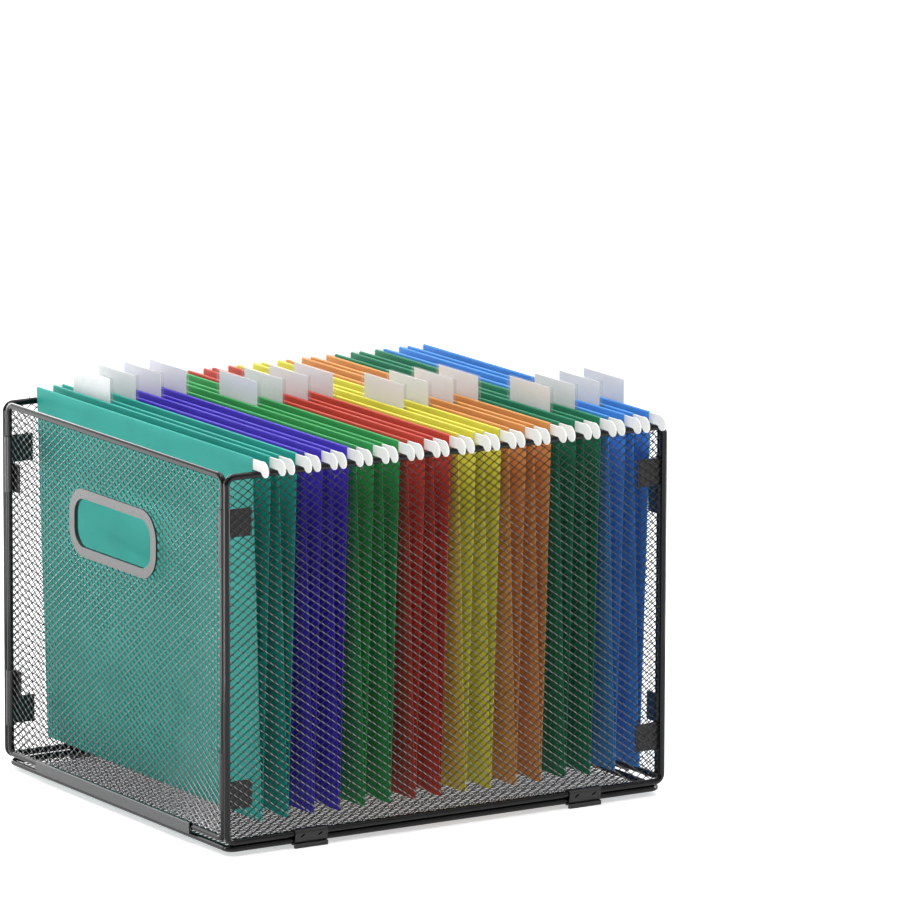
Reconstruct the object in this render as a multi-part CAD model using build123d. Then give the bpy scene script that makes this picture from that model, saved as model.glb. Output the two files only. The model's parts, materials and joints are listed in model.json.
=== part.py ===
"""Mesh hanging file rack on a swing-down base, loaded with sixteen hanging folders.

Millimetres, +Z up. The origin is on the floor plane, under the middle of the rack.
X runs along the long sides, Y across them, and the front long side faces -Y.
"""
from build123d import *
import math
import os

# ---------------------------------------------------------------- driving dimensions
RACK_LENGTH = 358.2  # outside of the wires, along X
RACK_WIDTH = 312.0  # outside of the wires, along Y
RAIL_TOP = 266.1  # top of the rails above the floor
WIRE_R = 2.3
BEND_R = 5.7  # centre line of every wire corner
FOOT_DROP = 2.8  # the feet reach this far below the base wire
MESH_T = 0.5  # solid plate with about the mass of the open expanded mesh

WIRE_GAP = 0.05  # between a wire and the mesh or the wire beside it
RUN_GAP = 0.3  # between a clip and the wire that turns in it
SHEET_T = 0.8  # steel of the clips and channels

# ---------------------------------------------------------------- where the wires run
END_X = RACK_LENGTH / 2 - WIRE_R  # end panels, and the uprights of the long panels
LONG_Y = RACK_WIDTH / 2 - WIRE_R  # long panels
END_Y = LONG_Y - 2 * WIRE_R - WIRE_GAP  # uprights of the end panels
RAIL_Z = RAIL_TOP - WIRE_R
BASE_Z = FOOT_DROP + WIRE_R
BASE_X = END_X - 1.9
BASE_Y = LONG_Y - 1.1
LONG_BOTTOM_Z = BASE_Z + 4.8
END_BOTTOM_Z = BASE_Z + 7.0

# ---------------------------------------------------------------- hand holes
RING_Z = 198.2
RING_OUTER = (121.0, 48.6, 20.0)  # length, height, corner radius
RING_INNER = (106.0, 34.6, 13.0)
RING_FLAT_T = 1.4
RING_LIP_T = 1.0
RING_LIP_DEPTH = 3.0

# ---------------------------------------------------------------- corner clips
CLIP_R_IN = WIRE_R + 0.1
CLIP_R_OUT = CLIP_R_IN + SHEET_T
LEAF_LENGTH = 20.6  # from the end panel's upright to the leaf's free edge
END_LEAF_LENGTH = 10.0
LEAF_HEIGHT = 19.6
CLIP_HEIGHT = 40.0
UPPER_CLIP_Z = 201.4  # lower edge of the upper clips
LOWER_CLIP_Z = 32.6  # lower edge of the lower clips

# ---------------------------------------------------------------- end channels
CHANNEL_LENGTH = 215.0
CHANNEL_T = 1.0
CHANNEL_BOTTOM = 7.1
CHANNEL_FLANGE_Z = 8.2

# ---------------------------------------------------------------- base clips
BASE_CLIP_X = 111.5
BASE_CLIP_WIDTH = 26.0
STRAP_R_IN = WIRE_R + RUN_GAP
STRAP_R_OUT = STRAP_R_IN + SHEET_T
FOOT_T = 2.4
SLOT_SPACING = 14.0
NOTCH_WIDTH = BASE_CLIP_WIDTH + 1.0
BASE_NOTCH_R = 7.4  # room for the foot of a clip as the base turns

# ---------------------------------------------------------------- folders
FOLDER_COUNT = 16
FIRST_FOLDER_X = -146.5
FOLDER_PITCH = 20.5
ROD_SPREAD = 6.65  # each rod stands this far from its folder's middle
ROD_T = 1.0
ROD_TOP = 273.9
ROD_BOTTOM = RAIL_TOP + RUN_GAP
CARD_T = 0.4
CARD_TOP = 274.6
CARD_HALF_WIDTH = 149.2
CREASE_Z = 20.3

# ---------------------------------------------------------------- hooks, as (distance out, height)
SHOULDER = (160.5, ROD_TOP)
CROWN = (167.2, 272.4)
NOSE = (169.4, 268.8)
NOSE_TURN = (168.7, 265.2)
TIP = (165.2, 263.2)
TIP_TURN = (162.5, 263.9)
THROAT = (160.5, 265.9)
NECK = (159.0, ROD_BOTTOM)

# ---------------------------------------------------------------- tabs
TAB_WIDTH = 55.0
TAB_DEPTH = 3.5
TAB_TOP = 291.3
TAB_FOOT = 262.0  # lower edge of the near wall
TAB_FAR_FOOT = 270.0  # lower edge of the far wall
TAB_T = 0.4
TAB_GAP = 0.15  # between the tab and its folder's card
INSERT_T = 0.25
INSERT_MARGIN = 1.5  # at each end of the paper insert
INSERT_FOOT = 271.0
TAB_CENTRES = (100.8, 37.5, -24.0, -85.6)  # one for each run of four folders


def wire_ring(length, height):
    """One closed wire, bent to a rounded rectangle in the XY plane."""
    centre_line = RectangleRounded(length, height, BEND_R).wire()
    section = Plane(origin=centre_line @ 0, z_dir=centre_line % 0) * Circle(WIRE_R)
    return sweep(section, path=centre_line)


def mesh_plate(length, height):
    """The mesh inside a wire ring whose centre line is length by height."""
    inset = WIRE_R + WIRE_GAP
    outline = RectangleRounded(length - 2 * inset, height - 2 * inset, BEND_R - inset)
    return extrude(outline, MESH_T / 2, both=True)


def long_side(shape, side):
    """Stand a flat XY shape up in the plane of a long panel."""
    centre_z = (RAIL_Z + LONG_BOTTOM_Z) / 2
    return Pos(0, side * LONG_Y, centre_z) * Rot(90, 0, 0) * shape


def end_side(shape, side, centre_z):
    """Stand a flat XY shape up in the plane of an end panel, its X along Y."""
    return Pos(side * END_X, 0, centre_z) * Rot(0, 0, 90) * Rot(90, 0, 0) * shape


def box_between(low, high):
    """A box from its lowest to its highest corner."""
    size = [b - a for a, b in zip(low, high)]
    middle = [(a + b) / 2 for a, b in zip(low, high)]
    return Pos(*middle) * Box(*size)


def mirrored(shape, x_side, y_side):
    """Copy a shape made for the left front corner to another corner."""
    if x_side > 0:
        shape = mirror(shape, Plane.YZ)
    if y_side > 0:
        shape = mirror(shape, Plane.XZ)
    return shape


def long_mesh(side):
    """Long panel mesh. The front one is notched where the base clips turn."""
    plate = long_side(mesh_plate(2 * END_X, RAIL_Z - LONG_BOTTOM_Z), side)
    if side > 0:
        return plate
    for x in (-BASE_CLIP_X, BASE_CLIP_X):
        notch_top = LONG_BOTTOM_Z + STRAP_R_OUT + RUN_GAP
        low = (x - NOTCH_WIDTH / 2, -LONG_Y - 1, LONG_BOTTOM_Z)
        high = (x + NOTCH_WIDTH / 2, -LONG_Y + 1, notch_top)
        plate = plate - box_between(low, high)
    return plate


def end_mesh(side):
    """End panel mesh with its hand hole and a notch for each corner clip's barrel."""
    plate = end_side(mesh_plate(2 * END_Y, RAIL_Z - END_BOTTOM_Z), side, (RAIL_Z + END_BOTTOM_Z) / 2)
    length, height, radius = RING_INNER
    grow = 2 * RING_LIP_T + 0.2
    hole = extrude(RectangleRounded(length + grow, height + grow, radius + grow / 2), 3, both=True)
    plate = plate - end_side(hole, side, RING_Z)
    for y_side in (-1, 1):
        for clip_z in (LOWER_CLIP_Z, UPPER_CLIP_Z):
            near = END_Y - CLIP_R_OUT - 0.1
            low = (side * END_X - 1, min(y_side * near, y_side * END_Y), clip_z - 0.2)
            high = (side * END_X + 1, max(y_side * near, y_side * END_Y), clip_z + CLIP_HEIGHT + 0.2)
            plate = plate - box_between(low, high)
    return plate


def hand_ring(side):
    """Flat ring on the outside of the mesh, with a lip turned in through the hole."""
    length, height, radius = RING_INNER
    inner = RectangleRounded(length, height, radius)
    lip = RectangleRounded(length + 2 * RING_LIP_T, height + 2 * RING_LIP_T, radius + RING_LIP_T)
    flat = extrude(RectangleRounded(*RING_OUTER) - inner, RING_FLAT_T)
    collar = extrude(lip - inner, RING_LIP_DEPTH)
    outward = Pos(0, 0, MESH_T / 2) * flat
    collar = Pos(0, 0, MESH_T / 2 + RING_FLAT_T - RING_LIP_DEPTH) * collar
    ring = end_side(outward.fuse(collar), 1, RING_Z)
    return ring if side > 0 else mirror(ring, Plane.YZ)


def corner_clip(x_side, y_side, lower_z, leaf_above):
    """Barrel on the end panel's upright, a leaf behind the long mesh and one on the end mesh."""
    barrel = Cylinder(CLIP_R_OUT, CLIP_HEIGHT) - Cylinder(CLIP_R_IN, CLIP_HEIGHT)
    half = CLIP_HEIGHT / 2
    leaf_low = half - LEAF_HEIGHT if leaf_above else -half
    end_low = -half if leaf_above else -half + LEAF_HEIGHT
    leaf = box_between((0, -CLIP_R_OUT, leaf_low), (LEAF_LENGTH, -CLIP_R_IN, leaf_low + LEAF_HEIGHT))
    end_high = end_low + CLIP_HEIGHT - LEAF_HEIGHT
    end_leaf = box_between((CLIP_R_IN, 0, end_low), (CLIP_R_OUT, END_LEAF_LENGTH, end_high))
    clip = barrel.fuse(leaf, end_leaf) - Cylinder(CLIP_R_IN, CLIP_HEIGHT)
    clip = Pos(-END_X, -END_Y, lower_z + half) * clip
    upright = Pos(-END_X, -LONG_Y, lower_z + half) * Cylinder(WIRE_R + WIRE_GAP, CLIP_HEIGHT + 2)
    return mirrored(clip - upright, x_side, y_side)


def end_channel(side):
    """U-channel pressed on the end panel's bottom wire, its back to the outside."""
    wire_out = END_X + WIRE_R
    outer = wire_out + CHANNEL_T
    top = END_BOTTOM_Z + WIRE_R + WIRE_GAP
    half = CHANNEL_LENGTH / 2
    web = box_between((-outer, -half, CHANNEL_BOTTOM), (-wire_out, half, top + SHEET_T))
    cap = box_between((-outer, -half, top), (-END_X - MESH_T, half, top + SHEET_T))
    flange_top = CHANNEL_FLANGE_Z + SHEET_T
    flange = box_between((-outer, -half, CHANNEL_FLANGE_Z), (-END_X, half, flange_top))
    channel = web.fuse(cap, flange)
    long_edges = channel.edges().filter_by(Axis.Y).group_by(Axis.X)[0].sort_by(Axis.Z)
    channel = fillet(long_edges[-1], 0.7)
    return channel if side < 0 else mirror(channel, Plane.YZ)


def oblong(radius):
    """Outline round both the long panel's bottom wire and the base wire, in the YZ plane."""
    across = BASE_Y - LONG_Y  # the base wire lies this much further out
    down = BASE_Z - LONG_BOTTOM_Z
    span = math.hypot(across, down)
    angle = math.degrees(math.atan2(down, -across))
    slot = Rot(0, 0, angle) * SlotOverall(span + 2 * radius, 2 * radius)
    face = Pos(-across / 2, down / 2) * slot
    return Plane.YZ.offset(-BASE_CLIP_WIDTH / 2) * face


def clip_slots():
    """The two short oblique slots pressed in the face of a base clip."""
    slots = []
    for x in (-SLOT_SPACING / 2, SLOT_SPACING / 2):
        slot = extrude(SlotOverall(3.6, 1.2), 2, both=True)
        place = Pos(x, -STRAP_R_OUT, -1.2) * Rot(90, 0, 0) * Rot(0, 0, 35)
        slots.append(place * slot)
    return slots


def clip_foot():
    """Lip under a base clip that stands on the floor, about the clip's upper wire."""
    floor = -LONG_BOTTOM_Z
    half = BASE_CLIP_WIDTH / 2
    foot_top = floor + 3.2
    return box_between((-half, -STRAP_R_OUT, floor), (half, -STRAP_R_OUT + FOOT_T, foot_top))


def hinge_clip(x):
    """Front clip: an oblong strap in which both wires turn."""
    strap = extrude(oblong(STRAP_R_OUT) - oblong(STRAP_R_IN), BASE_CLIP_WIDTH)
    inside = extrude(oblong(STRAP_R_IN), BASE_CLIP_WIDTH)
    strap = strap.fuse(clip_foot()) - inside
    for slot in clip_slots():
        strap = strap - slot
    return Pos(x, -LONG_Y, LONG_BOTTOM_Z) * strap


def snap_clip(x):
    """Back clip, fixed on the base wire: its open side lets the long panel's wire go."""
    half = BASE_CLIP_WIDTH / 2
    across = LONG_Y - BASE_Y
    down = BASE_Z - LONG_BOTTOM_Z
    base_wire = Pos(0, across, down) * Rot(0, 90, 0) * Cylinder(WIRE_R, 2 * half)
    cradle = Pos(0, across, down) * Rot(0, 90, 0) * Cylinder(STRAP_R_OUT, 2 * half)
    below = box_between((-half, -10, -20), (half, 10, down - 1.0))
    face = box_between((-half, -STRAP_R_OUT, down - 2), (half, -STRAP_R_IN, STRAP_R_OUT))
    shelf = box_between((-half, -STRAP_R_OUT, down - 2.6), (half, across, down - 1.2))
    clip = (cradle & below).fuse(face, shelf, clip_foot()) - base_wire
    for slot in clip_slots():
        clip = clip - slot
    return mirror(Pos(x, -LONG_Y, LONG_BOTTOM_Z) * clip, Plane.XZ)


def base_mesh():
    """Base mesh, notched at the front where it turns past the hinge clips."""
    plate = Pos(0, 0, BASE_Z) * mesh_plate(2 * BASE_X, 2 * BASE_Y)
    for x in (-BASE_CLIP_X, BASE_CLIP_X):
        low = (x - NOTCH_WIDTH / 2, -BASE_Y - 1, BASE_Z - 1)
        high = (x + NOTCH_WIDTH / 2, -BASE_Y + BASE_NOTCH_R, BASE_Z + 1)
        plate = plate - box_between(low, high)
    return plate


def rod_outline():
    """A rod's front half in the YZ plane: a flat bar that ends in a down-turned hook."""
    shoulder, crown, nose, nose_turn, tip, tip_turn, throat, neck = [
        (-out, height)
        for out, height in (SHOULDER, CROWN, NOSE, NOSE_TURN, TIP, TIP_TURN, THROAT, NECK)
    ]
    edges = [
        Line((0, ROD_TOP), shoulder),
        ThreePointArc(shoulder, crown, nose),
        ThreePointArc(nose, nose_turn, tip),
        ThreePointArc(tip, tip_turn, throat),
        Line(throat, neck),
        Line(neck, (0, ROD_BOTTOM)),
        Line((0, ROD_BOTTOM), (0, ROD_TOP)),
    ]
    return make_face(edges)


def folder_rod(x):
    """Flat steel rod with a hook at each end, hung over both rails."""
    half = Plane.YZ.offset(x - ROD_T / 2) * rod_outline()
    front = extrude(half, ROD_T)
    return front.fuse(mirror(front, Plane.XZ))


def leaf_offset(height):
    """How far a leaf's inner face is from its folder's middle at a height."""
    slope = (ROD_SPREAD + ROD_T / 2 + 0.02) / (ROD_BOTTOM - CREASE_Z)
    return slope * (height - CREASE_Z)


def folder_leaf(x, side):
    """One leaf of a folder, sloping from its rod down to the crease at x."""
    top_in = leaf_offset(CARD_TOP)
    points = [
        (0, CREASE_Z),
        (side * CARD_T, CREASE_Z),
        (side * (top_in + CARD_T), CARD_TOP),
        (side * top_in, CARD_TOP),
    ]
    outline = make_face(Polyline(*points, close=True))
    leaf = extrude(Plane.XZ * outline, CARD_HALF_WIDTH, both=True)
    return Pos(x, 0, 0) * leaf


def folder_tab(x, centre_y):
    """Clear sleeve behind the folder's right-hand leaf, with its paper insert."""
    near = x + leaf_offset(CARD_TOP) + CARD_T + TAB_GAP
    far = near + TAB_DEPTH
    low_y = centre_y - TAB_WIDTH / 2
    high_y = centre_y + TAB_WIDTH / 2
    near_wall = box_between((near, low_y, TAB_FOOT), (near + TAB_T, high_y, TAB_TOP))
    far_wall = box_between((far - TAB_T, low_y, TAB_FAR_FOOT), (far, high_y, TAB_TOP))
    fold = box_between((near, low_y, TAB_TOP - TAB_T), (far, high_y, TAB_TOP))
    sleeve = near_wall.fuse(far_wall, fold)
    sleeve = fillet(sleeve.edges().filter_by(Axis.Y).group_by(Axis.Z)[-1], 0.35)
    middle = (near + far) / 2
    insert_low = (middle - INSERT_T / 2, low_y + INSERT_MARGIN, INSERT_FOOT)
    insert_high = (middle + INSERT_T / 2, high_y - INSERT_MARGIN, TAB_TOP - TAB_T - TAB_GAP)
    return [sleeve, box_between(insert_low, insert_high)]


def rack_parts():
    """Every sub-part, by node name, as a list of separate solids."""
    parts = {}
    long_ring = wire_ring(2 * END_X, RAIL_Z - LONG_BOTTOM_Z)
    end_ring = wire_ring(2 * END_Y, RAIL_Z - END_BOTTOM_Z)
    for name, side in (("front", -1), ("back", 1)):
        parts[f"{name}_frame"] = [long_side(long_ring, side)]
        parts[f"{name}_mesh"] = [long_mesh(side)]
    for name, side in (("left_end", -1), ("right_end", 1)):
        parts[f"{name}_frame"] = [end_side(end_ring, side, (RAIL_Z + END_BOTTOM_Z) / 2)]
        parts[f"{name}_mesh"] = [end_mesh(side)]
        parts[f"{name}_hand_ring"] = [hand_ring(side)]
        parts[f"{name}_channel"] = [end_channel(side)]
    for x_name, x_side in (("left", -1), ("right", 1)):
        for y_name, y_side in (("front", -1), ("back", 1)):
            upper = corner_clip(x_side, y_side, UPPER_CLIP_Z, True)
            lower = corner_clip(x_side, y_side, LOWER_CLIP_Z, False)
            parts[f"corner_clip_{y_name}_{x_name}_upper"] = [upper]
            parts[f"corner_clip_{y_name}_{x_name}_lower"] = [lower]
        parts[f"base_clip_front_{x_name}"] = [hinge_clip(x_side * BASE_CLIP_X)]
        parts[f"base_clip_back_{x_name}"] = [snap_clip(x_side * BASE_CLIP_X)]
    parts["base_frame"] = [Pos(0, 0, BASE_Z) * wire_ring(2 * BASE_X, 2 * BASE_Y)]
    parts["base_mesh"] = [base_mesh()]
    for number in range(FOLDER_COUNT):
        x = FIRST_FOLDER_X + number * FOLDER_PITCH
        centre_y = TAB_CENTRES[number // 4]
        name = f"folder_{number + 1:02d}"
        parts[f"{name}_card"] = [folder_leaf(x, -1), folder_leaf(x, 1)]
        rods = [folder_rod(x - ROD_SPREAD), folder_rod(x + ROD_SPREAD)]
        parts[f"{name}_rods_and_tab"] = rods + folder_tab(x, centre_y)
    return parts


os.makedirs("parts", exist_ok=True)
for node, solids in rack_parts().items():
    bodies = [solid for shape in solids for solid in shape.solids()]
    shape = bodies[0] if len(bodies) == 1 else Compound(children=bodies)
    shape.label = node
    export_step(shape, f"parts/{node}.step")
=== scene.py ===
"""Looks of the mesh hanging file rack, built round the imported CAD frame.

Metres, +Z up, in the frame of the CAD. The front long side faces -Y and the left end -X.
"""

import json
import math
import random

import bmesh
import bpy
from mathutils import Matrix, Vector


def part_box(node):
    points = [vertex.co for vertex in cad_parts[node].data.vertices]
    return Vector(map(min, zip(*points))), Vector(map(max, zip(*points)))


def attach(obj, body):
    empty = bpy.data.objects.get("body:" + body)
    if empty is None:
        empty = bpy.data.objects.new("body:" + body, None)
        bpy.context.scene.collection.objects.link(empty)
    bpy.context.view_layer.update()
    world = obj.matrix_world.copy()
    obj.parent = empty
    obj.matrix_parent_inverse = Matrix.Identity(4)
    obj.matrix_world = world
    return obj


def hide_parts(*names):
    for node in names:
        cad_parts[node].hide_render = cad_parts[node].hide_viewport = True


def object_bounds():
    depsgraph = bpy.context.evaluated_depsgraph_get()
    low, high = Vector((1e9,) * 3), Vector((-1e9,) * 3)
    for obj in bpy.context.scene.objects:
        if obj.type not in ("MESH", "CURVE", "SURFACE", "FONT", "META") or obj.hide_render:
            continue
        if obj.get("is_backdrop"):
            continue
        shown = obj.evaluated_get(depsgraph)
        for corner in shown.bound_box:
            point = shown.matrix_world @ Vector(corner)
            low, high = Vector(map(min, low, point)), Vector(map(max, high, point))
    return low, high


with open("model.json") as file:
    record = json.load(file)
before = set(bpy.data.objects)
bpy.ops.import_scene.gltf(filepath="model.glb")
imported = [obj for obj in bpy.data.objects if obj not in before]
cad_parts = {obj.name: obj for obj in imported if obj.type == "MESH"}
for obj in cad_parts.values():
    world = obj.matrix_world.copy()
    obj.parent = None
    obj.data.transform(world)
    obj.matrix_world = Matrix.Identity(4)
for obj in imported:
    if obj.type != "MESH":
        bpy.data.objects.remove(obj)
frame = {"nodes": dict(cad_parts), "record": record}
cad_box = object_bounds()
nodes = frame["nodes"]
MM = 0.001

# ---------------------------------------------------------------- camera
CAMERA_AT = Vector((-3.0192, -4.9936, 1.4009))
CAMERA_AZIMUTH = math.radians(31.965)
CAMERA_ELEVATION = math.radians(11.262)
CAMERA_ROLL = math.radians(0.192)
CAMERA_LENS = 339.17  # millimetres, as is the sensor's width
CAMERA_SENSOR = 36.0
CAMERA_FAR = 50.0

# ---------------------------------------------------------------- expanded metal
MESH_LONG = 8.2 * MM  # one diamond, along the long way of the mesh
MESH_SHORT = 5.74 * MM  # and along the short way
STRAND_WIDTH = 0.78 * MM  # of a flat strand along the short way, before it leans
STRAND_T = 0.44 * MM
STRAND_TWIST = math.radians(-30)  # every strand leans the same way, like a louvre
BOND_TWIST = math.radians(-14)  # and lies flatter where two strands join
FLAT_TWIST = math.radians(-8)  # the base's mesh is rolled flatter
FLAT_T = 0.5 * MM
FLAT_WIDTH = 1.15 * MM
MESH_SINK = 1.2 * MM  # strand ends lie this far inside the wire's surface
MESH_CORNER = 2  # wire radii: tighter than the wire's bend, so strands reach into it there too
# A strand from one bond to the next: share of its run, share of its rise, twist.
FINE_PROFILE = ((0.07, -0.90, BOND_TWIST), (0.5, 0.0, STRAND_TWIST), (0.93, 0.90, BOND_TWIST))
FLAT_PROFILE = ((0.08, -0.88, FLAT_TWIST), (0.92, 0.88, FLAT_TWIST))

# ---------------------------------------------------------------- cuts in the meshes
RING_LAP = 3.2 * MM  # a hand ring covers the cut edge of the mesh by this much
HOLE_CORNER = 16.5 * MM
CLIP_SIDE_GAP = 0.8 * MM  # between a front base clip and the strands beside it
CLIP_TOP_GAP = 0.9 * MM
NOTCH_HALF = 10 * MM  # half the height of the notch in the front mesh over a clip
NOTCH_DEPTH = 8.0 * MM  # of the notch in the base's mesh, from the front wire's centre line
NOTCH_CORNER = 0.2 * MM
FRONT_CLIPS = ("base_clip_front_left", "base_clip_front_right")

# ---------------------------------------------------------------- rounded edges of the CAD pieces
WELD = 1e-6  # vertices closer than this are one
FLAT_ANGLE = math.radians(0.5)  # faces that meet at less than this are merged
SHARP_ANGLE = math.radians(35)  # edges that turn by more than this are rounded
CLIP_EDGE = 0.12 * MM
RING_EDGE = 0.18 * MM
CHANNEL_EDGE = 0.15 * MM
ROD_EDGE = 0.22 * MM
TAB_EDGE = 0.05 * MM

# ---------------------------------------------------------------- folder cards
CARD_T = 0.4 * MM
HEM_DEPTH = 17.0 * MM  # from the top of the fold to the flap's lower edge
HEM_GAP_OUTER = 0.05 * MM  # between a rod and the leaf, outside it
HEM_GAP_INNER = 0.03 * MM  # between a rod and the flap, inside it
HEM_SHIFT = 0.01 * MM  # of the fold's centre, outwards from the rod's
ROD_MIDDLE = 3 * MM  # below the fold's centre, where the flap passes the rod
ROD_BOTTOM = 6.6 * MM  # below the fold's centre, where the hem leaves the rod
LEAF_STEP = 0.02 * MM  # of the leaf, outwards where it leaves the rod
FLAP_TURN = 8.4 * MM  # below the fold's centre, where the flap turns towards the leaf
FLAP_LEAN = 0.25 * MM  # of the flap towards the leaf, at that height
FLAP_GLUED = 4 * MM  # height of the strip that is glued to the leaf
FLAP_AWAY_LOW = 1.05  # from leaf to flap, in card thicknesses, at the flap's lower edge
FLAP_AWAY_HIGH = 1.1  # and at the top of the glued strip
CREASE_R = 0.9 * MM
CREASE_ABOVE = 3 * MM  # the leaves are straight down to this far above the crease
CARD_STEPS = 28  # along the card
LEAF_STEPS = 14  # down each leaf
FOLD_STEPS = 8  # round the fold over a rod
CREASE_STEPS = 4  # round each half of the crease
CARD_SHARP = math.radians(50)  # edges that turn by more than this aren't shaded smooth

# ---------------------------------------------------------------- unevenness of the cards
CARD_SEED = 40
BOW_MOST = 0.35 * MM  # how far a leaf's middle may bow, either way
RIPPLE_LEAST = 0.05 * MM
RIPPLE_MOST = 0.16 * MM
RIPPLE_WAVES = 1.5  # along a leaf
RIPPLE_FADE = 0.9  # of the half wave by which a ripple fades up and down a leaf

# ---------------------------------------------------------------- telling a folder's solids apart
ROD_LEAST = 0.3  # only the rods are longer than this, along Y
INSERT_MOST = 1 * MM  # of a tab's two solids, only the insert is thinner than this, along X

# ---------------------------------------------------------------- set
FLOOR_REACH = 30.0
FLOOR_GLOW = 0.50  # the set is a light table, so the object throws almost no shadow
SURROUND_BRIGHT_WAY = (0.8, 0.6, 0)  # the surround is bright on this side, and dim opposite
SURROUND_SPREAD = 0.6  # cosine of the angle to that way at which it is fully bright
SURROUND_DIM = 0.25
SURROUND_BRIGHT = 1.15


def world_camera():
    """The camera, at the measured place and angle."""
    forward = Vector(
        (
            math.sin(CAMERA_AZIMUTH) * math.cos(CAMERA_ELEVATION),
            math.cos(CAMERA_AZIMUTH) * math.cos(CAMERA_ELEVATION),
            -math.sin(CAMERA_ELEVATION),
        )
    )
    level = Vector((math.cos(CAMERA_AZIMUTH), -math.sin(CAMERA_AZIMUTH), 0))
    upright = level.cross(forward)
    right = math.cos(CAMERA_ROLL) * level + math.sin(CAMERA_ROLL) * upright
    up = -math.sin(CAMERA_ROLL) * level + math.cos(CAMERA_ROLL) * upright
    data = bpy.data.cameras.new("camera")
    data.lens = CAMERA_LENS
    data.sensor_width = CAMERA_SENSOR
    data.clip_end = CAMERA_FAR
    camera = bpy.data.objects.new("camera", data)
    turn = Matrix((right, up, -forward)).transposed().to_4x4()
    camera.matrix_world = Matrix.Translation(CAMERA_AT) @ turn
    bpy.context.scene.collection.objects.link(camera)
    bpy.context.scene.camera = camera


# ---------------------------------------------------------------- materials
class Nodes:
    """A material's node tree, with short calls for the nodes used here."""

    def __init__(self, name):
        self.material = bpy.data.materials.new(name)
        self.material.use_nodes = True
        self.tree = self.material.node_tree
        self.shader = self.tree.nodes["Principled BSDF"]
        self.place = self.add("ShaderNodeTexCoord").outputs["Object"]

    def add(self, kind, **values):
        """A new node with its properties set."""
        node = self.tree.nodes.new(kind)
        for key, value in values.items():
            setattr(node, key, value)
        return node

    def link(self, source, target):
        self.tree.links.new(source, target)

    def stretched(self, scale):
        """The object's coordinates, stretched by scale."""
        mapping = self.add("ShaderNodeMapping")
        mapping.inputs["Scale"].default_value = scale
        self.link(self.place, mapping.inputs["Vector"])
        return mapping.outputs["Vector"]

    def noise(self, scale, detail=3.0, roughness=0.55, vector=None):
        """Noise in the object's own coordinates; scale counts its cells in a metre."""
        node = self.add("ShaderNodeTexNoise")
        node.inputs["Scale"].default_value = scale
        node.inputs["Detail"].default_value = detail
        node.inputs["Roughness"].default_value = roughness
        self.link(vector or self.place, node.inputs["Vector"])
        return node.outputs["Fac"]

    def ramp(self, value, low, high, start=0.3, end=0.7):
        """Two colours, blended by value."""
        node = self.add("ShaderNodeValToRGB")
        first, last = node.color_ramp.elements
        first.position = start
        last.position = end
        first.color = (*low, 1)
        last.color = (*high, 1)
        self.link(value, node.inputs["Fac"])
        return node.outputs["Color"]

    def grey(self, value, low, high, start=0.3, end=0.7):
        """A number from low to high, by value."""
        node = self.add("ShaderNodeMapRange")
        node.inputs["From Min"].default_value = start
        node.inputs["From Max"].default_value = end
        node.inputs["To Min"].default_value = low
        node.inputs["To Max"].default_value = high
        self.link(value, node.inputs["Value"])
        return node.outputs["Result"]

    def bump(self, height, strength, distance, before=None):
        """A normal roughened by height, on top of the bump before it."""
        node = self.add("ShaderNodeBump")
        node.inputs["Strength"].default_value = strength
        node.inputs["Distance"].default_value = distance
        self.link(height, node.inputs["Height"])
        if before:
            self.link(before, node.inputs["Normal"])
        return node.outputs["Normal"]

    def give(self, **sockets):
        """Set or link the shader's sockets; a name's underscores stand for spaces."""
        for key, value in sockets.items():
            socket = self.shader.inputs[key.replace("_", " ")]
            if isinstance(value, bpy.types.NodeSocket):
                self.link(value, socket)
            else:
                socket.default_value = value
        return self.material


def powder_coat(name, dark, light, rough_low, rough_high, grain, shine):
    """Black powder coat: a fine orange peel, and specks that are a little lighter."""
    n = Nodes(name)
    cloud = n.noise(scale=60.0, detail=4.0)
    speck = n.noise(scale=2600.0, detail=2.0)
    peel = n.noise(scale=grain, detail=3.0, roughness=0.5)
    coat = (dark, dark, dark * 1.05)
    fleck = (light, light, light * 1.06)
    coarse = n.bump(peel, strength=0.16, distance=0.06 * MM)
    return n.give(
        Base_Color=n.ramp(speck, coat, fleck),
        Roughness=n.grey(cloud, rough_low, rough_high),
        Normal=n.bump(speck, strength=0.05, distance=0.02 * MM, before=coarse),
        Specular_IOR_Level=shine,
    )


def card_stock(name, colour):
    """Coloured card: fibres in its body, slight mottling and a soft surface."""
    n = Nodes(name)
    darker = tuple(c * 0.93 for c in colour)
    lighter = tuple(min(1.0, c * 1.05 + 0.003) for c in colour)
    mottle = n.noise(scale=34.0, detail=5.0, roughness=0.6)
    upright = n.stretched((1.0, 2.6, 0.7))
    fibres = n.noise(scale=900.0, detail=4.0, roughness=0.65, vector=upright)
    pulp = n.noise(scale=3400.0, detail=2.0)
    fibre_share = 0.45
    mix = n.add("ShaderNodeMath", operation="MULTIPLY_ADD")
    mix.inputs[1].default_value = fibre_share
    n.link(fibres, mix.inputs[0])
    n.link(mottle, mix.inputs[2])
    rough = n.bump(fibres, strength=0.10, distance=0.06 * MM)
    return n.give(
        Base_Color=n.ramp(mix.outputs[0], darker, lighter, start=0.55, end=0.95),
        Roughness=n.grey(fibres, low=0.52, high=0.66),
        Normal=n.bump(pulp, strength=0.05, distance=0.02 * MM, before=rough),
        Specular_IOR_Level=0.22,
    )


def white_coat():
    """Glossy white coating on the flat steel rods."""
    n = Nodes("rod_white_coat")
    cloud = n.noise(scale=140.0, detail=4.0)
    peel = n.noise(scale=1300.0, detail=3.0)
    return n.give(
        Base_Color=n.ramp(cloud, (0.88, 0.89, 0.87), (0.93, 0.94, 0.92)),
        Roughness=n.grey(cloud, low=0.30, high=0.42),
        Normal=n.bump(peel, strength=0.08, distance=0.04 * MM),
    )


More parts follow.
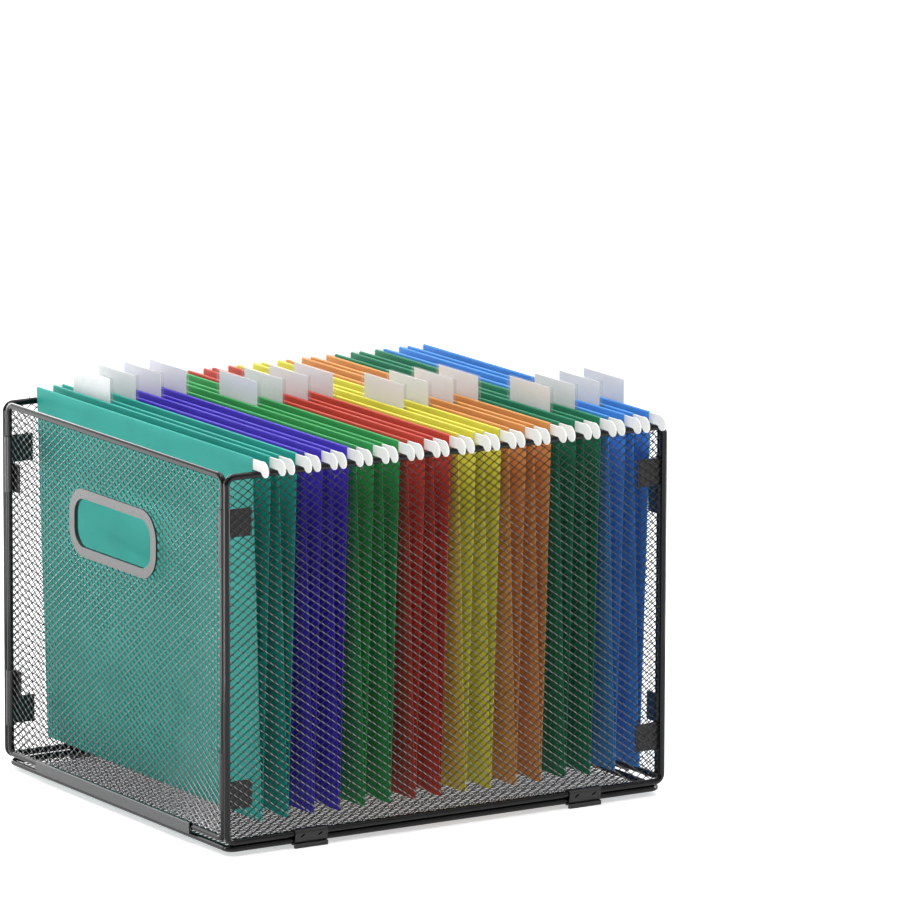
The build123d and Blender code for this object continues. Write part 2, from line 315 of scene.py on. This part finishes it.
def clear_plastic():
    """Thin frosted clear plastic, a little uneven."""
    n = Nodes("tab_clear_plastic")
    cloud = n.noise(scale=220.0, detail=3.0)
    lengthways = n.stretched((1.0, 0.25, 1.0))
    draw = n.noise(scale=700.0, detail=3.0, roughness=0.5, vector=lengthways)
    return n.give(
        Base_Color=n.ramp(cloud, (0.94, 0.95, 0.96), (0.96, 0.97, 0.98)),
        Roughness=n.grey(draw, low=0.18, high=0.24),
        Alpha=n.grey(cloud, low=0.08, high=0.10),
    )


def white_paper():
    """The paper insert of a tab."""
    n = Nodes("tab_paper")
    fibres = n.noise(scale=1500.0, detail=4.0, roughness=0.65)
    return n.give(
        Base_Color=n.ramp(fibres, (0.91, 0.91, 0.92), (0.95, 0.95, 0.96)),
        Roughness=n.grey(fibres, low=0.75, high=0.9),
        Normal=n.bump(fibres, strength=0.04, distance=0.02 * MM),
    )


CARD_COLOURS = {
    "card_teal": (0.012, 0.385, 0.325),
    "card_indigo": (0.068, 0.038, 0.560),
    "card_green": (0.030, 0.360, 0.090),
    "card_red": (0.600, 0.066, 0.038),
    "card_yellow": (0.800, 0.740, 0.080),
    "card_orange": (0.760, 0.350, 0.100),
    "card_dark_green": (0.015, 0.240, 0.120),
    "card_blue": (0.070, 0.310, 0.780),
}

FINISHES = {
    "wire": powder_coat(
        "wire_powder_coat",
        dark=0.002,
        light=0.006,
        rough_low=0.08,
        rough_high=0.14,
        grain=700.0,
        shine=0.26,
    ),
    "mesh": powder_coat(
        "mesh_powder_coat",
        dark=0.005,
        light=0.012,
        rough_low=0.12,
        rough_high=0.22,
        grain=900.0,
        shine=0.62,
    ),
    "clip": powder_coat(
        "clip_powder_coat",
        dark=0.008,
        light=0.016,
        rough_low=0.26,
        rough_high=0.38,
        grain=800.0,
        shine=0.42,
    ),
    "trim": powder_coat(
        "trim_powder_coat",
        dark=0.014,
        light=0.026,
        rough_low=0.24,
        rough_high=0.34,
        grain=650.0,
        shine=0.85,
    ),
    "rod_white": white_coat(),
}
for slot_name, card_colour in CARD_COLOURS.items():
    FINISHES[slot_name] = card_stock(slot_name + "_stock", card_colour)
TAB_CLEAR = clear_plastic()
TAB_PAPER = white_paper()

SLOT_OF = {row["node"]: row["material_slot"] for row in frame["record"]["subparts"]}
BODIES = frame["record"]["behaviour"]["bodies"]
BODY_OF = {node: body for body, members in BODIES.items() for node in members}


def finish_node(node):
    """Give a CAD node that stays its finish."""
    data = nodes[node].data
    data.materials.clear()
    data.materials.append(FINISHES[SLOT_OF[node]])


def add_piece(name, data, node, material=None):
    """A new piece that stands for a CAD node, and rides on that node's body."""
    piece = bpy.data.objects.new(name, data)
    bpy.context.scene.collection.objects.link(piece)
    data.materials.clear()
    data.materials.append(material or FINISHES[SLOT_OF[node]])
    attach(piece, BODY_OF[node])
    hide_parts(node)


# ---------------------------------------------------------------- pieces taken from the CAD solids
def cad_solids(node):
    """Each separate solid of a CAD node as its own welded bmesh, from low to high X."""
    whole = bmesh.new()
    whole.from_mesh(nodes[node].data)
    bmesh.ops.remove_doubles(whole, verts=whole.verts, dist=WELD)
    seen = set()
    groups = []
    for start in whole.verts:
        if start in seen:
            continue
        group = []
        queue = [start]
        seen.add(start)
        while queue:
            vert = queue.pop()
            group.append(vert)
            for edge in vert.link_edges:
                other = edge.other_vert(vert)
                if other not in seen:
                    seen.add(other)
                    queue.append(other)
        groups.append(group)
    solids = []
    for group in groups:
        solid = whole.copy()
        solid.verts.ensure_lookup_table()
        keep = {vert.index for vert in group}
        gone = [vert for vert in solid.verts if vert.index not in keep]
        bmesh.ops.delete(solid, geom=gone, context="VERTS")
        solids.append(solid)
    whole.free()
    return sorted(solids, key=lambda solid: sum(v.co.x for v in solid.verts) / len(solid.verts))


def rounded_mesh(solid, name, width, segments=2):
    """The solid's mesh with its flat faces merged and its sharp edges rounded."""
    bmesh.ops.dissolve_limit(solid, angle_limit=FLAT_ANGLE, verts=solid.verts, edges=solid.edges)
    sharp = [
        edge
        for edge in solid.edges
        if len(edge.link_faces) == 2 and edge.calc_face_angle(0) > SHARP_ANGLE
    ]
    bmesh.ops.bevel(
        solid,
        geom=sharp,
        offset=width,
        segments=segments,
        profile=0.5,
        affect="EDGES",
        clamp_overlap=True,
    )
    bmesh.ops.recalc_face_normals(solid, faces=solid.faces)
    data = bpy.data.meshes.new(name)
    solid.to_mesh(data)
    solid.free()
    data.shade_smooth()
    flat_normals(data)
    return data


def flat_normals(data):
    """Vertex normals weighed by area, so that flat faces stay flat between rounded edges."""
    sums = [Vector() for _ in data.vertices]
    for face in data.polygons:
        for number in face.vertices:
            sums[number] += face.normal * face.area
    data.normals_split_custom_set_from_vertices([total.normalized() for total in sums])


def size_along(solid, axis):
    """How long a bmesh is along one axis."""
    values = [vert.co[axis] for vert in solid.verts]
    return max(values) - min(values)


def face_outwards(data):
    """Turn every face of a closed mesh outwards."""
    turned = bmesh.new()
    turned.from_mesh(data)
    bmesh.ops.recalc_face_normals(turned, faces=turned.faces)
    turned.to_mesh(data)
    turned.free()


# ---------------------------------------------------------------- expanded metal
def rounded_box(u, v, half_u, half_v, radius):
    """How far inside a rounded rectangle a point is; negative outside."""
    across = abs(u) - half_u + radius
    up = abs(v) - half_v + radius
    outside = math.hypot(max(across, 0), max(up, 0))
    return radius - outside - min(max(across, up), 0)


def clipped_runs(points, inside):
    """Cut a strand's points to the runs that are inside, ending exactly at the edge."""
    runs = []
    run = []
    values = [inside(p[0], p[1]) for p in points]
    for number, (point, value) in enumerate(zip(points, values)):
        if number and (value > 0) != (values[number - 1] > 0):
            before = points[number - 1]
            share = values[number - 1] / (values[number - 1] - value)
            cut = tuple(a + (b - a) * share for a, b in zip(before, point))
            if value > 0:
                run = [cut]
            else:
                runs.append(run + [cut])
                run = []
        if value > 0:
            run.append(point)
    if run:
        runs.append(run)
    return [r for r in runs if len(r) > 1]


def strand_points(row, half_u, profile):
    """The centre line of one zigzag row, as (u, v, twist)."""
    rise = MESH_SHORT / 4
    centre = row * MESH_SHORT / 2
    columns = math.ceil(half_u / (MESH_LONG / 2)) + 1
    points = []
    for column in range(-columns, columns):
        way = 1 if (row + column) % 2 == 0 else -1
        for share, height, twist in profile:
            u = (column + share) * MESH_LONG / 2
            points.append((u, centre + way * rise * height, twist))
    return points


def expanded_metal(name, half_u, half_v, inside, to_world, profile, width, thickness):
    """A sheet of expanded metal: zigzag rows of flat strands joined at their bonds."""
    rows = math.ceil(half_v / (MESH_SHORT / 2)) + 1
    verts = []
    faces = []
    for row in range(-rows, rows + 1):
        for run in clipped_runs(strand_points(row, half_u, profile), inside):
            first = len(verts)
            for u, v, twist in run:
                wide = (math.cos(twist) * width / 2, math.sin(twist) * width / 2)
                thick = (-math.sin(twist) * thickness / 2, math.cos(twist) * thickness / 2)
                for a, b in ((-1, -1), (1, -1), (1, 1), (-1, 1)):
                    dv = a * wide[0] + b * thick[0]
                    dn = a * wide[1] + b * thick[1]
                    verts.append(to_world(u, v + dv, dn))
            for step in range(len(run) - 1):
                here = first + 4 * step
                for side in range(4):
                    turn = (side + 1) % 4
                    faces.append((here + side, here + turn, here + 4 + turn, here + 4 + side))
            last = first + 4 * (len(run) - 1)
            faces.append((first + 3, first + 2, first + 1, first))
            faces.append((last, last + 1, last + 2, last + 3))
    data = bpy.data.meshes.new(name)
    data.from_pydata(verts, [], faces)
    data.update()
    face_outwards(data)
    return data


def panel_outline(frame_node, across):
    """A wire frame's centre, its half sizes to the wire's centre line, and the wire's radius.

    across is the frame's level axis, 0 for X or 1 for Y.
    """
    low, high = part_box(frame_node)
    flat = 1 - across
    wire = (high[flat] - low[flat]) / 2
    centre = (low + high) / 2
    return centre, (high[across] - low[across]) / 2 - wire, (high.z - low.z) / 2 - wire, wire


def upright_mesh(node, frame_node, outward, hole_node=None, notch_nodes=()):
    """The mesh of an end or long panel, cut round its hand hole and its clips."""
    across = 0 if outward.x == 0 else 1
    centre, half_u, half_v, wire = panel_outline(frame_node, across)
    side = Vector((0, 0, 1)).cross(outward)
    edge = wire - MESH_SINK
    corner = MESH_CORNER * wire
    gaps = []
    if hole_node:
        low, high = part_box(hole_node)
        middle = (low + high) / 2
        hole = (
            (middle - centre).dot(side),
            middle.z - centre.z,
            (high.y - low.y) / 2 - RING_LAP,
            (high.z - low.z) / 2 - RING_LAP,
            HOLE_CORNER,
        )
        gaps.append(hole)
    for notch in notch_nodes:
        low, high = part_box(notch)
        middle = (low + high) / 2
        cut = (
            (middle - centre).dot(side),
            high.z + CLIP_TOP_GAP - centre.z - NOTCH_HALF,
            (high[across] - low[across]) / 2 + CLIP_SIDE_GAP,
            NOTCH_HALF,
            NOTCH_CORNER,
        )
        gaps.append(cut)

    def inside(u, v):
        value = rounded_box(u, v, half_u - edge, half_v - edge, corner - edge)
        for gap_u, gap_v, wide, tall, radius in gaps:
            value = min(value, -rounded_box(u - gap_u, v - gap_v, wide, tall, radius))
        return value

    def to_world(u, v, out):
        return centre + side * u + Vector((0, 0, v)) + outward * out

    name = node + "_strands"
    section = (FINE_PROFILE, STRAND_WIDTH, STRAND_T)
    add_piece(name, expanded_metal(name, half_u, half_v, inside, to_world, *section), node)


def floor_mesh():
    """The base's mesh, cut round the front base clips."""
    low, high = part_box("base_frame")
    wire = (high.z - low.z) / 2
    centre = (low + high) / 2
    half_u = (high.x - low.x) / 2 - wire
    half_v = (high.y - low.y) / 2 - wire
    edge = wire - MESH_SINK
    corner = MESH_CORNER * wire
    clips = [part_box(clip) for clip in FRONT_CLIPS]

    def inside(u, v):
        value = rounded_box(u, v, half_u - edge, half_v - edge, corner - edge)
        for clip_low, clip_high in clips:
            middle = (clip_low.x + clip_high.x) / 2 - centre.x
            wide = (clip_high.x - clip_low.x) / 2 + CLIP_SIDE_GAP
            notch = rounded_box(u - middle, v + half_v, wide, NOTCH_DEPTH, NOTCH_CORNER)
            value = min(value, -notch)
        return value

    def to_world(u, v, out):
        return centre + Vector((u, v, out))

    name = "base_mesh_strands"
    section = (FLAT_PROFILE, FLAT_WIDTH, FLAT_T)
    add_piece(name, expanded_metal(name, half_u, half_v, inside, to_world, *section), "base_mesh")


# ---------------------------------------------------------------- folders
def folder_path(rod_x, rod_half, top, crease):
    """Half of a folder's section, from the flap's edge over the rod to the crease, as (x, z)."""
    half = CARD_T / 2
    outer = rod_x + rod_half + half + HEM_GAP_OUTER
    inner = rod_x - rod_half - half - HEM_GAP_INNER
    fold_r = (outer - inner) / 2
    fold_z = top - half - fold_r
    slope = (outer - half) / (top - crease)
    flap_z = top - HEM_DEPTH
    glue_z = flap_z + FLAP_GLUED
    hem_z = fold_z - ROD_BOTTOM
    bottom = crease + CREASE_R
    leaf_end = bottom + CREASE_ABOVE

    def leaf_x(z):
        return half + slope * (z - crease)

    path = [
        (leaf_x(flap_z) - CARD_T * FLAP_AWAY_LOW, flap_z),
        (leaf_x(glue_z) - CARD_T * FLAP_AWAY_HIGH, glue_z),
        (inner + FLAP_LEAN, fold_z - FLAP_TURN),
        (inner, hem_z),
        (inner, fold_z - ROD_MIDDLE),
    ]
    fold_x = rod_x + HEM_SHIFT
    for step in range(FOLD_STEPS + 1):
        turn = math.pi * step / FOLD_STEPS
        path.append((fold_x - fold_r * math.cos(turn), fold_z + fold_r * math.sin(turn)))
    path.append((leaf_x(hem_z) + LEAF_STEP, hem_z))
    for step in range(1, LEAF_STEPS + 1):
        z = hem_z + (leaf_end - hem_z) * step / LEAF_STEPS
        path.append((leaf_x(z), z))
    for step in range(1, CREASE_STEPS + 1):
        turn = math.pi / 2 * step / CREASE_STEPS
        path.append((leaf_x(bottom) * math.cos(turn), bottom - CREASE_R * math.sin(turn)))
    return path


def offset_path(path, distance):
    """The path moved sideways by distance."""
    moved = []
    for number, (x, z) in enumerate(path):
        x0, z0 = path[max(number - 1, 0)]
        x1, z1 = path[min(number + 1, len(path) - 1)]
        length = math.hypot(x1 - x0, z1 - z0)
        moved.append((x - distance * (z1 - z0) / length, z + distance * (x1 - x0) / length))
    return moved


def folder_card(number, node, rod_box):
    """One folder: a card folded in a V, with a hem folded over each rod."""
    name = f"folder_{number:02d}_card_stock"
    low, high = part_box(node)
    middle = (low.x + high.x) / 2
    rod_x, rod_half = rod_box
    right = folder_path(rod_x - middle, rod_half, high.z, low.z)
    left = [(-x, z) for x, z in right]
    path = left + right[-2::-1]
    wall = offset_path(path, CARD_T / 2)
    lining = offset_path(path, -CARD_T / 2)
    ring = wall + lining[::-1]
    rng = random.Random(CARD_SEED + number)
    bow = [rng.uniform(-BOW_MOST, BOW_MOST) for _ in range(2)]
    ripple = [rng.uniform(RIPPLE_LEAST, RIPPLE_MOST) for _ in range(2)]
    phase = rng.uniform(0, math.tau)
    height = high.z - low.z
    verts = []
    faces = []
    for step in range(CARD_STEPS + 1):
        share = step / CARD_STEPS
        y = low.y + (high.y - low.y) * share
        for x, z in ring:
            up = (z - low.z) / height
            side = 0 if x < 0 else 1
            belly = math.sin(math.pi * min(max(up, 0), 1)) * math.sin(math.pi * share)
            fade = math.sin(math.pi * up * RIPPLE_FADE)
            wave = math.sin(math.tau * (RIPPLE_WAVES * share + up) + phase) * fade
            verts.append((middle + x + bow[side] * belly + ripple[side] * wave, y, z))
    size = len(ring)
    for step in range(CARD_STEPS):
        for spot in range(size):
            turn = (spot + 1) % size
            here = step * size
            there = here + size
            faces.append((here + spot, here + turn, there + turn, there + spot))
    count = len(path)
    for base, flip in ((0, False), (CARD_STEPS * size, True)):
        for spot in range(count - 1):
            quad = (base + spot, base + size - 1 - spot, base + size - 2 - spot, base + spot + 1)
            faces.append(quad[::-1] if flip else quad)
    data = bpy.data.meshes.new(name)
    data.from_pydata(verts, [], faces)
    data.update()
    face_outwards(data)
    data.shade_smooth()
    data.set_sharp_from_angle(angle=CARD_SHARP)
    add_piece(name, data, node)


def folder_hardware(number, node):
    """The rods, tab and insert of a folder. Returns the right rod's middle and half thickness."""
    solids = cad_solids(node)
    rods = [solid for solid in solids if size_along(solid, 1) > ROD_LEAST]
    others = [solid for solid in solids if size_along(solid, 1) <= ROD_LEAST]
    right = rods[1]
    low_x = min(vert.co.x for vert in right.verts)
    high_x = max(vert.co.x for vert in right.verts)
    for side, solid in zip(("left", "right"), rods):
        name = f"folder_{number:02d}_rod_{side}"
        add_piece(name, rounded_mesh(solid, name, ROD_EDGE, segments=3), node)
    for solid in others:
        is_paper = size_along(solid, 0) < INSERT_MOST
        kind = "insert" if is_paper else "sleeve"
        name = f"folder_{number:02d}_tab_{kind}"
        material = TAB_PAPER if is_paper else TAB_CLEAR
        add_piece(name, rounded_mesh(solid, name, TAB_EDGE, segments=1), node, material)
    return (low_x + high_x) / 2, (high_x - low_x) / 2


# ---------------------------------------------------------------- floor, surround and lamps
def pale_floor():
    """A plain pale floor with a glow of its own."""
    reach = FLOOR_REACH
    corners = [(-reach, -reach, 0), (reach, -reach, 0), (reach, reach, 0), (-reach, reach, 0)]
    floor = bpy.data.meshes.new("floor")
    floor.from_pydata(corners, [], [(0, 1, 2, 3)])
    floor_object = bpy.data.objects.new("floor", floor)
    bpy.context.scene.collection.objects.link(floor_object)
    n = Nodes("floor_white")
    cloud = n.noise(scale=0.8, detail=2.0)
    floor.materials.append(
        n.give(
            Base_Color=n.ramp(cloud, (0.88, 0.88, 0.88), (0.90, 0.90, 0.90)),
            Roughness=0.9,
            Emission_Color=(1, 1, 1, 1),
            Emission_Strength=FLOOR_GLOW,
        )
    )
    floor_object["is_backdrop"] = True


def surround():
    """A white world, bright on one side and dim on the other."""
    world = bpy.data.worlds.new("surround")
    bpy.context.scene.world = world
    world.use_nodes = True
    tree = world.node_tree
    background = tree.nodes["Background"]
    coordinates = tree.nodes.new("ShaderNodeTexCoord")
    facing = tree.nodes.new("ShaderNodeVectorMath")
    facing.operation = "DOT_PRODUCT"
    facing.inputs[1].default_value = SURROUND_BRIGHT_WAY
    tree.links.new(coordinates.outputs["Generated"], facing.inputs[0])
    ramp = tree.nodes.new("ShaderNodeMapRange")
    ramp.inputs["From Min"].default_value = -SURROUND_SPREAD
    ramp.inputs["From Max"].default_value = SURROUND_SPREAD
    ramp.inputs["To Min"].default_value = SURROUND_DIM
    ramp.inputs["To Max"].default_value = SURROUND_BRIGHT
    tree.links.new(facing.outputs["Value"], ramp.inputs["Value"])
    tree.links.new(ramp.outputs["Result"], background.inputs["Strength"])
    background.inputs["Color"].default_value = (1, 1, 1, 1)


def studio():
    """The floor, the surround, four soft lamps and six panels for the light lines."""
    pale_floor()
    surround()
    soft_lamp("key", (-2.2, -0.4, 2.2), (-0.1, 0, 0.15), 1.4, 1.4, 9)
    soft_lamp("top", (0.2, 0.2, 2.6), (0, 0, 0.1), 2.4, 2.4, 40)
    soft_lamp("spark", (-0.7, -0.1, 2.0), (0, 0, 0.2), 0.35, 0.35, 9)
    glint_lamp("glint_front_left", (-0.61, -0.03, 0.16), (-0.18, -0.155, 0.16), 0.05, 0.3, 1.5)
    glint_lamp("glint_back_left", (-0.61, 0.28, 0.16), (-0.18, 0.155, 0.16), 0.03, 0.3, 0.5)
    glint_lamp("glint_front_right", (0.60, -0.33, 0.16), (0.18, -0.155, 0.16), 0.05, 0.3, 1.5)
    glint_lamp("glint_right", (1.6, -0.35, 0.75), (0, -0.15, 0.15), 1.0, 0.7, 12.0)
    glint_lamp("glint_high", (0.1, 1.7, 0.80), (-0.1, 0, 0.27), 1.2, 0.7, 14.0)
    glint_lamp("glint_back", (0.0, 1.6, 0.30), (-0.18, 0, 0.15), 0.9, 0.55, 4.0)
    soft_lamp("rim", (-0.55, 0.95, 0.32), (0, 0, 0.15), 0.9, 0.6, 4.5)


def soft_lamp(name, place, aim, width, height, power):
    """An area lamp at place that points at aim; sizes are in metres and power in watts."""
    data = bpy.data.lights.new(name, "AREA")
    data.shape = "RECTANGLE"
    data.size = width
    data.size_y = height
    data.energy = power
    lamp = bpy.data.objects.new(name, data)
    lamp.location = place
    lamp.rotation_euler = (Vector(aim) - Vector(place)).to_track_quat("-Z", "Y").to_euler()
    lamp.visible_camera = False
    bpy.context.scene.collection.objects.link(lamp)
    return lamp


def glint_lamp(name, place, aim, width, height, power):
    """A panel that shows only in glossy surfaces, as a light line along the wires and strands."""
    lamp = soft_lamp(name, place, aim, width, height, power)
    lamp.visible_diffuse = False


bpy.context.scene.view_settings.view_transform = "Standard"
world_camera()
studio()

LEFT = Vector((-1, 0, 0))
RIGHT = Vector((1, 0, 0))
FRONT = Vector((0, -1, 0))
BACK = Vector((0, 1, 0))
upright_mesh("front_mesh", "front_frame", FRONT, notch_nodes=FRONT_CLIPS)
upright_mesh("back_mesh", "back_frame", BACK)
upright_mesh("left_end_mesh", "left_end_frame", LEFT, "left_end_hand_ring")
upright_mesh("right_end_mesh", "right_end_frame", RIGHT, "right_end_hand_ring")
floor_mesh()

for node in sorted(nodes):
    if node.endswith("_frame"):
        finish_node(node)
    elif node.startswith(("corner_clip", "base_clip")):
        add_piece(node + "_pressed", rounded_mesh(cad_solids(node)[0], node, CLIP_EDGE), node)
    elif node.endswith("_hand_ring"):
        add_piece(node + "_pressed", rounded_mesh(cad_solids(node)[0], node, RING_EDGE), node)
    elif node.endswith("_channel"):
        add_piece(node + "_pressed", rounded_mesh(cad_solids(node)[0], node, CHANNEL_EDGE), node)
    elif node.endswith("_card"):
        number = int(node.split("_")[1])
        rod = folder_hardware(number, f"folder_{number:02d}_rods_and_tab")
        folder_card(number, node, rod)

visual_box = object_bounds()
[[list(corner) for corner in box] for box in (cad_box, visual_box)]
